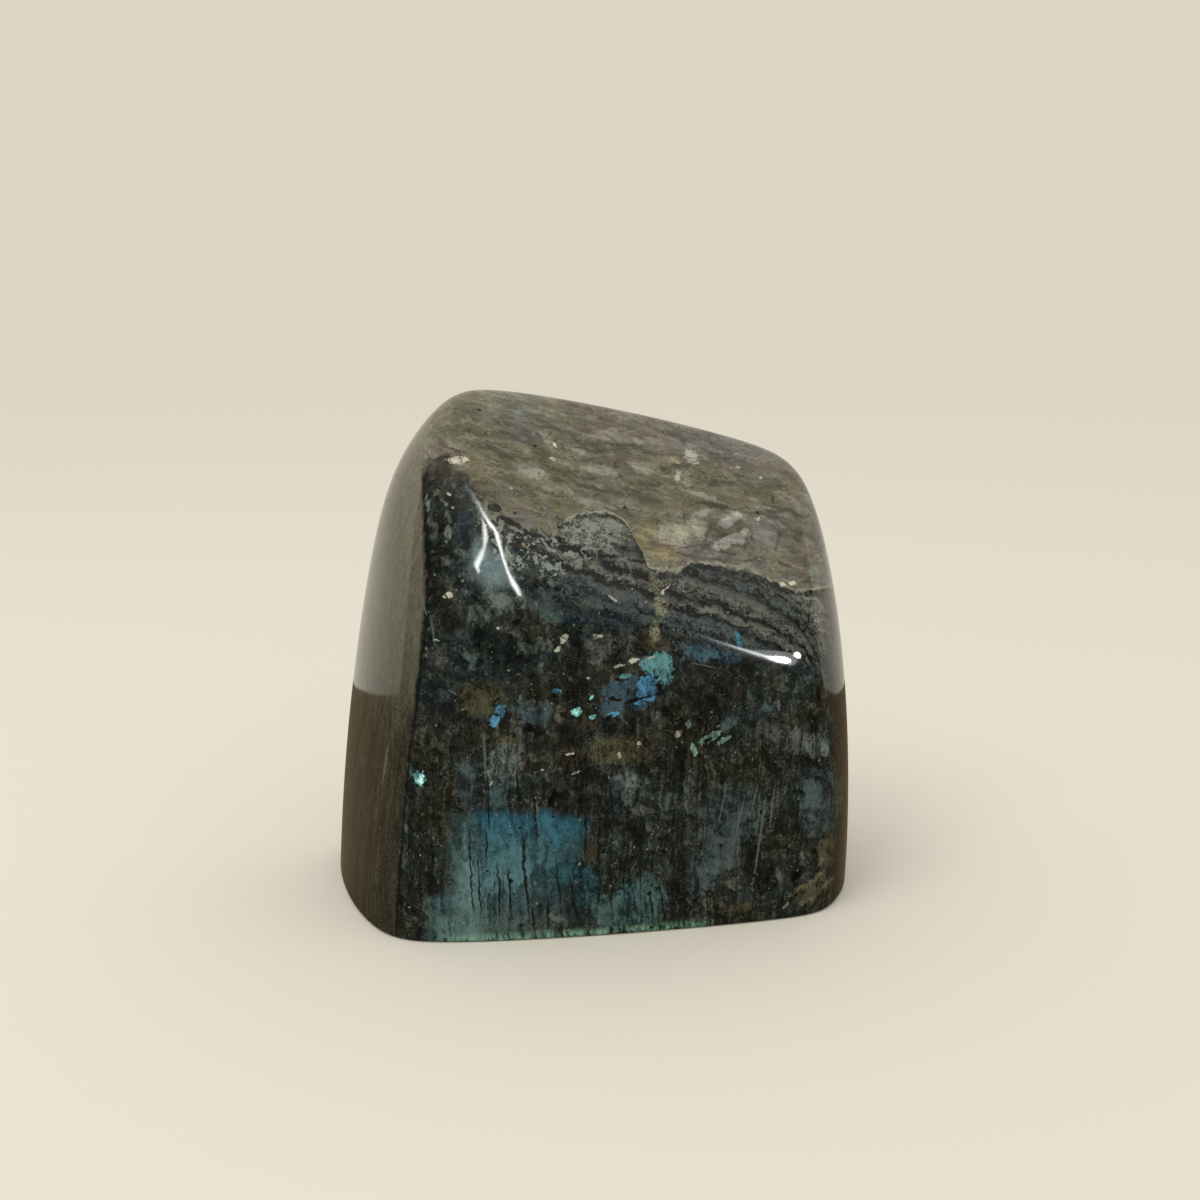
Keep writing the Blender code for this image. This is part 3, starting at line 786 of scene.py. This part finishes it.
def lowFlash(stone):  # the sheet of blue near the base, and its mask
    x, z, strips, mottle = stone.x, stone.z, stone.strips, stone.mottle
    step = times(minus(strips, 0.5), 6)
    fall = between(x, -20, -17, 0, 2)
    high = plus(plus(z, step), fall)
    colour = toned(divided(high, flashHeight), finish["flashTones"])
    dim = times(between(x, -25, -12), between(z, 29, 20))
    colour = painted(dim, colour, scaled(colour, 0.45))
    colour = painted(between(x, -34.5, -38.8, 0, 0.8), colour, finish["flashPale"])
    panels = flakesAt(stone.ragged, (5, 8, 10), 12)
    lit = blended((mottle, 0.25), (stone.crumbs, 0.12), (strips, 0.8), (stone.grit, 0.6), (panels, 0.35))
    lit = between(lit, 0.22, 0.78, 0.4, 1.6)
    fringe = plus(x, blended((mottle, 10), (strips, 8), middle=0))
    left = plus(x, between(z, 17, 5, 0, 6))
    mask = times(between(left, -44.5, -38.5), between(fringe, -6, -16))
    mask = times(mask, between(high, 34.5, 31))
    worn = between(blended((mottle, 1), (strips, 0.6)), 0.22, 0.42, 0.3, 1)
    return scaled(colour, lit), times(mask, worn)


def paintBelt(colour, stone):  # between the cap's edge and the ridge, speckled at its left end
    x, z = stone.x, stone.z
    ridge = minus(z, calc("MULTIPLY_ADD", x, -0.27, 77))
    belt = times(between(ridge, -2.5, 2.5), between(x, -26, -12))
    layers, lit = beltColour(stone)
    colour = painted(times(belt, 0.92), colour, layers)
    colour = drawMarks(colour, beltMarks, stone, lit)
    speckled = times(between(stone.above, -12, -8), between(x, 4, -8))
    speckled = times(speckled, between(x, -36, -28))
    pale = between(blended((stone.crumbs, 1.2), (stone.grit, 1.2)), 0.62, 0.84, 0, 0.9)
    return painted(times(speckled, pale), colour, finish["beltSpeckle"])


def paintCap(colour, stone):  # the pale cap, with a broken cream line and a dark line along its edge
    cream, dark = finish["capLines"]
    granular = between(stone.x, -8, -18)
    loose = minus(blended((stone.crumbs, 1.4), (stone.mottle, 4), (stone.grit, 2)), 0.5)
    capped = plus(stone.above, times(loose, granular))
    capped = divided(capped, calc("MULTIPLY_ADD", granular, 2, 0.3))
    colour = painted(between(capped, -1, 1), colour, capColour(stone))
    clean = minus(1, granular)
    shown = times(between(stone.mottle, 0.38, 0.54, 0.15, 0.85), clean)
    colour = painted(times(lineAt(stone.above, 0.5, 0.15), shown), colour, cream)
    line = lineAt(plus(stone.above, 1), 0.7, 0.25, 0.85)
    shown = times(between(stone.x, 4, 14, 0.35, 1), between(stone.mottle, 0.62, 0.48, 0.25, 1))
    return painted(times(line, times(shown, clean)), colour, dark)


def paintDamage(colour, stone):  # cracks, curls, specks and pits, and where they break the polish
    near = nearMarks(shifted(stone.fine, 7, 0.5), cracks, 14)
    crack = between(blended((near, 1), (stone.grit, 0.5)), 0.18, 0.58, 0, 0.95)
    colour = painted(crack, colour, finish["crack"])
    curl = lineAt(minus(noiseAt(stone.place, 1.7, 1), 0.5), 0.022, 0.006)
    curl = times(curl, between(noiseAt(stone.place, 2.6, 1), 0.54, 0.63, 0, 0.5))
    colour = painted(curl, colour, finish["curl"])
    colour = painted(dotsAt(stone.fine, 1.5, 0.24, 0.04, 0.7), colour, finish["speck"])
    pit = dotsAt(stone.fine, 2.6, 0.25, 0.05)
    return painted(pit, colour, finish["pit"]), calc("MAXIMUM", crack, pit)


def paintRim(colour, stone):  # the flash catches the eased rim
    low = calc("MULTIPLY_ADD", stone.strips, 3, stone.placeZ)
    rim = times(between(low, 4.8, 2.6), stone.facesFront)
    rim = times(rim, between(stone.placeX, -47, -41))
    rim = times(rim, between(stone.placeX, 24, 15))
    glow = blended((stone.strips, 1.8), (stone.mottle, 0.7))
    # painted glow: a bright mint band along the eased rim at the foot of the front face
    return painted(times(rim, between(glow, 0.25, 0.85)), colour, finish["paintedRimGlow"])


def paintSides(colour, stone):  # duller and browner, and paler towards the cap
    placeZ, towardsX = stone.placeZ, stone.towardsX
    sideways = plus(towardsX, blended((stone.mottle, 0.05), (stone.strips, 0.06), middle=0))
    leftSide = between(sideways, -0.67, -0.71, 0, 0.88)
    lit = between(blended((stone.strips, 0.6), (stone.grit, 0.5)), 0.3, 0.7, 0.72, 1.3)
    lit = calc("POWER", lit, between(placeZ, 66, 52, 1, 2.6))
    inner = minus(between(towardsX, -0.95, -0.73, 1, 1.5), 1)
    inner = plus(1, times(inner, between(placeZ, 52, 66)))
    tone = toned(divided(placeZ, stoneHeight), finish["sideTones"])
    colour = painted(leftSide, colour, scaled(tone, times(lit, inner)))
    line = times(lineAt(plus(sideways, 0.66), 0.018, 0.008, 0.8), between(placeZ, 108, 100))
    colour = painted(line, colour, finish["sideLine"])
    rightSide = between(towardsX, 0.45, 0.8, 0, 0.75)
    rightSide = times(rightSide, between(stone.above, 2, -8, 0.25, 1))
    return painted(rightSide, colour, scaled(finish["rightSide"], lit))


def paintScratches(colour, stone):
    near = nearMarks(stone.place, scratches, 30)
    scratch = between(blended((near, 1), (stone.grit, 1.2)), 0.16, 0.6, 0, 0.65)
    scratch = times(scratch, calc("GREATER_THAN", near, 0))
    return painted(scratch, colour, finish["scratch"])


def readStone(tree):  # places in mm, straight and ragged, the grain, and which way the surface looks
    at = addNode(tree, "ShaderNodeTexCoord").outputs
    place = scaled(at["Object"], 1000)
    fine = shifted(place, 1.3, 0.45)
    ragged = shifted(fine, 5, 1.1, 1)
    towardsX, towardsY, _ = split(at["Normal"])
    strips = streaksAt(ragged, (1.3, 1.3, 34), 3, 0.62)
    mottle, grit = noiseAt(ragged, 2.6, 3, 0.62), noiseAt(place, 0.6, 2, 0.6)
    crumbs = flakesAt(fine, (1, 1, 1.5), 15)
    placeX, _, placeZ = split(place)
    x, y, z = split(ragged)
    edge = capHeight(x)
    straight = calc("MULTIPLY_ADD", x, -0.31, 97)  # how the cap ends at the back
    edge = calc("MULTIPLY_ADD", minus(straight, edge), between(y, -4, 12), edge)
    return SimpleNamespace(
        place=place, placeX=placeX, placeZ=placeZ, fine=fine, ragged=ragged, x=x, z=z,
        strips=strips, mottle=mottle, grit=grit, crumbs=crumbs,
        tear=blended((crumbs, 0.35), (grit, 0.9), (mottle, 0.5), middle=0),
        above=minus(z, edge), towardsX=towardsX, facesFront=between(towardsY, -0.45, -0.72))


def makeStoneMaterial():
    material = bpy.data.materials.new("polishedLabradorite")
    material.use_nodes = True
    tree = material.node_tree
    shader = tree.nodes["Principled BSDF"]
    shader.inputs["IOR"].default_value = finish["ior"]
    stone = readStone(tree)

    colour, tone = darkColour(stone)
    lit = between(tone, 0.25, 0.75, 0.3, 1.8)
    flash, flashMask = lowFlash(stone)
    colour = painted(times(flashMask, stone.facesFront), colour, flash)
    colour = drawMarks(colour, {**frontMarks, **backMarks}, stone, lit)
    colour = paintBelt(colour, stone)
    colour = paintCap(colour, stone)
    colour = drawMarks(colour, edgeMarks, stone, lit)
    colour, broken = paintDamage(colour, stone)
    colour = paintRim(colour, stone)
    colour = paintSides(colour, stone)
    feed(paintScratches(colour, stone), shader.inputs["Base Color"])
    gloss = between(stone.mottle, 0.25, 0.75, *finish["polish"])
    gloss = calc("MULTIPLY_ADD", broken, finish["brokenPolish"], gloss)
    feed(gloss, shader.inputs["Roughness"])
    print("finish:", len(tree.nodes), "nodes")
    return material


# Floor, light and camera

studio = {
    "floorRadius": 3,
    "floorSides": 128,
    "floorColour": (0.75, 0.7, 0.585),
    "floorRoughness": 0.8,
    "cameraPlace": (-0.07615, -0.34998, 0.15226),
    "cameraTurn": 12.5,  # degrees, towards +X
    "cameraDip": 12,  # degrees below level
    "lens": 42,
    "sensor": 36,
    "evenLight": 0.95,  # from all round
    "wallAway": 0.205,  # m behind the stone, along the camera's line
    "wallHeight": 1,
    "cardReach": 2,  # m to each side and to the front
    "tableDrop": 0.0002,  # so that the table's card never meets the floor
    "wallGlow": (0.7, 0.655, 0.55),  # what the polish mirrors: a pale wall, a brown table
    "tableGlow": (0.16, 0.118, 0.07),
    "nearTable": (0.055, 0.04, 0.024),
    "nearDepth": (0.02, -0.06),  # m behind the middle, where the table turns darker
    "darkRoom": (0.03, 0.032, 0.03),
    "ceilingGlow": (0.42, 0.41, 0.37),
    "ceilingRise": (0.55, 0.9),  # heights on a globe of radius 1, from the room to the ceiling
    "hazePlace": (-152, 42),  # a soft bluish glow in the room
    "hazeGlow": (2.4, 3.15, 3.1),
    "hazeEdge": (0.94, 0.99),  # cosines of the angle from its middle
    "lampsLookAt": (0, 0, 0.075),
    "ribbonColour": (0.95, 0.99, 0.98),
    "ribbonSpread": 1.5,
}


def directionTo(azimuth, elevation):  # azimuth from +Y towards +X
    turn, rise = math.radians(azimuth), math.radians(elevation)
    flat = math.cos(rise)
    return Vector((math.sin(turn) * flat, math.cos(turn) * flat, math.sin(rise)))


def addSheet(name, corners, faces, material, unseen):  # unseen: by which rays
    sheet = addObject(name, bpy.data.meshes.new(name))
    sheet.data.from_pydata(corners, [], faces)
    sheet.data.materials.append(material)
    for ray in unseen:
        setattr(sheet, "visible_" + ray, False)
    return sheet


def makeFloor():
    radius, sides = studio["floorRadius"], studio["floorSides"]
    turns = [2 * math.pi * side / sides for side in range(sides)]
    ring = [(radius * math.cos(turn), radius * math.sin(turn), 0) for turn in turns]
    material = bpy.data.materials.new("paleFloor")
    material.use_nodes = True
    shader = material.node_tree.nodes["Principled BSDF"].inputs
    feed(studio["floorColour"], shader["Base Color"])
    feed(studio["floorRoughness"], shader["Roughness"])
    feed(0, shader["Specular IOR Level"])
    addSheet("floor", ring, [range(sides)], material, ["glossy"])


def makeGlowing(name, corners, faces, makeGlow):  # seen only in the polish
    material = bpy.data.materials.new(name)
    material.use_nodes = True
    material.cycles.emission_sampling = "NONE"
    tree = material.node_tree
    tree.nodes.clear()
    light = addNode(tree, "ShaderNodeEmission", {"Color": makeGlow(tree)})
    follow("ShaderNodeOutputMaterial", {"Surface": light.outputs[0]})
    return addSheet(name, corners, faces, material, ["camera", "diffuse", "shadow"])


def tableColour(tree, away):
    place = addNode(tree, "ShaderNodeTexCoord").outputs["Object"]
    near = between(vecCalc("DOT_PRODUCT", place, away), *studio["nearDepth"])
    return painted(near, studio["tableGlow"], studio["nearTable"])


def makeCards():
    turn, reach = math.radians(studio["cameraTurn"]), studio["cardReach"]
    away = Vector((math.sin(turn), math.cos(turn), 0))
    along = Vector((math.cos(turn), -math.sin(turn), 0))
    wall, top = away * studio["wallAway"], Vector((0, 0, studio["wallHeight"]))
    left, right = wall - along * reach, wall + along * reach
    square = [(0, 1, 2, 3)]
    makeGlowing("wallCard", [left, right, right + top, left + top], square,
                lambda tree: studio["wallGlow"])
    front, sunk = away * -reach, Vector((0, 0, -studio["tableDrop"]))
    makeGlowing("tableCard", [left + sunk, right + sunk, right + sunk + front, left + sunk + front],
                square, lambda tree: tableColour(tree, away))


def makeWorld():
    world = bpy.data.worlds.new("studio")
    bpy.context.scene.world = world
    world.use_nodes = True
    world.cycles.sampling_method = "NONE"
    tree = world.node_tree
    tree.nodes.clear()
    way = addNode(tree, "ShaderNodeTexCoord").outputs["Generated"]
    rise = between(split(way)[2], *studio["ceilingRise"])
    room = painted(rise, studio["darkRoom"], studio["ceilingGlow"])
    seen = addNode(tree, "ShaderNodeLightPath").outputs
    even = studio["evenLight"]
    horizon = tuple(part * even for part in studio["floorColour"])
    haze = between(vecCalc("DOT_PRODUCT", way, directionTo(*studio["hazePlace"])), *studio["hazeEdge"])
    room = painted(haze, room, studio["hazeGlow"])
    light = painted(seen["Is Camera Ray"], room, horizon)
    light = painted(seen["Is Diffuse Ray"], light, (even,) * 3)
    background = follow("ShaderNodeBackground", {"Color": light})
    follow("ShaderNodeOutputWorld", {"Surface": background.outputs[0]})


# Ribbons of light that the ridges mirror: a place on the stone in mm, the azimuth and
# elevation that it mirrors, the ribbon's half width in m and its brightness
ribbons = {
    "mainRibbon": [
        (-35, -10.8, 109.7, -129.7, 73.1, 0.03, 1.5), (-33.6, -13.9, 106.6, -144.5, 72.7, 0.036, 2.6),
        (-32.1, -16.2, 104.4, -159.3, 73, 0.036, 6), (-31.1, -18.3, 102.2, -165.1, 71.3, 0.032, 14),
        (-30.1, -19.8, 100.5, -171.7, 70.1, 0.032, 27), (-28.8, -21.4, 98.8, -179.7, 68.7, 0.028, 28),
        (-28.3, -23.8, 95.8, -174, 62.7, 0.024, 26), (-27.8, -25.9, 92.8, -169.4, 53.6, 0.021, 24),
        (-26.9, -27.8, 89.7, -168.3, 42, 0.024, 25), (-25.6, -29.3, 86.9, -169.6, 31.1, 0.036, 30),
        (-24.6, -30.3, 84.6, -170.7, 22.8, 0.016, 22)],
    "sideRibbon": [
        (-31.3, -19.4, 100.8, -158.9, 68.4, 0.02, 16), (-31.3, -21.3, 98.4, -153.3, 63, 0.026, 24),
        (-32, -23.5, 95, -144.2, 52.1, 0.02, 18), (-32.7, -24.1, 93.6, -139.6, 46.4, 0.032, 22),
        (-34, -24.8, 91.3, -134.1, 38.1, 0.04, 26), (-33.6, -25.9, 89.6, -137.9, 34.4, 0.018, 15)],
    "tailRibbon": [
        (13.8, -33.4, 75, 147.7, 36, 0.007, 0.2), (18.8, -33.6, 73.6, 146.6, 34.6, 0.007, 1),
        (22.5, -33.8, 72.2, 146.5, 32.8, 0.009, 3), (26.3, -34.1, 70.8, 146.6, 30.7, 0.013, 8),
        (30, -34.4, 69.2, 146.6, 28, 0.018, 14), (33, -34.5, 68.1, 146, 25.8, 0.02, 16),
        (36, -34.4, 67.6, 144.5, 24.5, 0.02, 16)],
}


def ribbonGlow(tree):
    bright = addNode(tree, "ShaderNodeAttribute", attribute_name="bright").outputs["Fac"]
    return scaled(studio["ribbonColour"], bright)


def makeRibbons():
    for name, rows in ribbons.items():
        ways = [directionTo(azimuth, elevation) for _, _, _, azimuth, elevation, _, _ in rows]
        middles = [Vector(row[:3]) / 1000 + way for row, way in zip(rows, ways)]
        corners, faces = [], []
        for step, (row, way, middle) in enumerate(zip(rows, ways, middles)):
            along = middles[min(step + 1, len(rows) - 1)] - middles[max(step - 1, 0)]
            across = along.cross(way).normalized() * row[5] * studio["ribbonSpread"]
            corners += [middle - across, middle, middle + across]
            if step:
                first = 3 * step - 3
                faces += [(first + side, first + side + 1, first + side + 4, first + side + 3)
                          for side in (0, 1)]
        ribbon = makeGlowing(name, corners, faces, ribbonGlow)
        bright = ribbon.data.attributes.new("bright", "FLOAT", "POINT")
        for step, row in enumerate(rows):  # its edges fade out
            bright.data[3 * step + 1].value = row[6]


lamps = {  # azimuth from +Y towards +X, elevation, distance in m, width, height, watts, mirrored
    "key": (-125, 55, 1.1, 0.5, 0.5, 2.6, False),
    "lampBig": (141, 21.5, 1, 0.13, 0.1, 2.9, True),
    "lampHaze": (139.5, 23, 1, 0.26, 0.22, 0.42, True),
    "lampSmall": (129, 24, 1, 0.08, 0.08, 1.8, True),
}


def makeLamps():
    for name, (azimuth, elevation, distance, width, height, watts, mirrored) in lamps.items():
        way = directionTo(azimuth, elevation)
        data = bpy.data.lights.new(name, "AREA")
        data.shape = "ELLIPSE" if mirrored else "RECTANGLE"
        data.size, data.size_y, data.energy = width, height, watts
        lamp = addObject(name, data)
        lamp.location = Vector(studio["lampsLookAt"]) + way * distance
        lamp.rotation_euler = way.to_track_quat("Z", "Y").to_euler()
        lamp.visible_glossy = mirrored
        lamp.visible_diffuse = not mirrored


def makeCamera():
    data = bpy.data.cameras.new("camera")
    data.lens, data.sensor_width = studio["lens"], studio["sensor"]
    camera = addObject("camera", data)
    camera.location = studio["cameraPlace"]
    dip, turn = math.radians(90 - studio["cameraDip"]), math.radians(-studio["cameraTurn"])
    camera.rotation_euler = Euler((dip, 0, turn))
    bpy.context.scene.camera = camera


makeCamera()
makeFloor()
makeCards()
makeWorld()
makeLamps()
makeRibbons()
print("studio: floor, cards, world,", len(lamps), "lamps and the camera")
makeStone(makeStoneMaterial())
bpy.context.scene.view_settings.view_transform = "Standard"
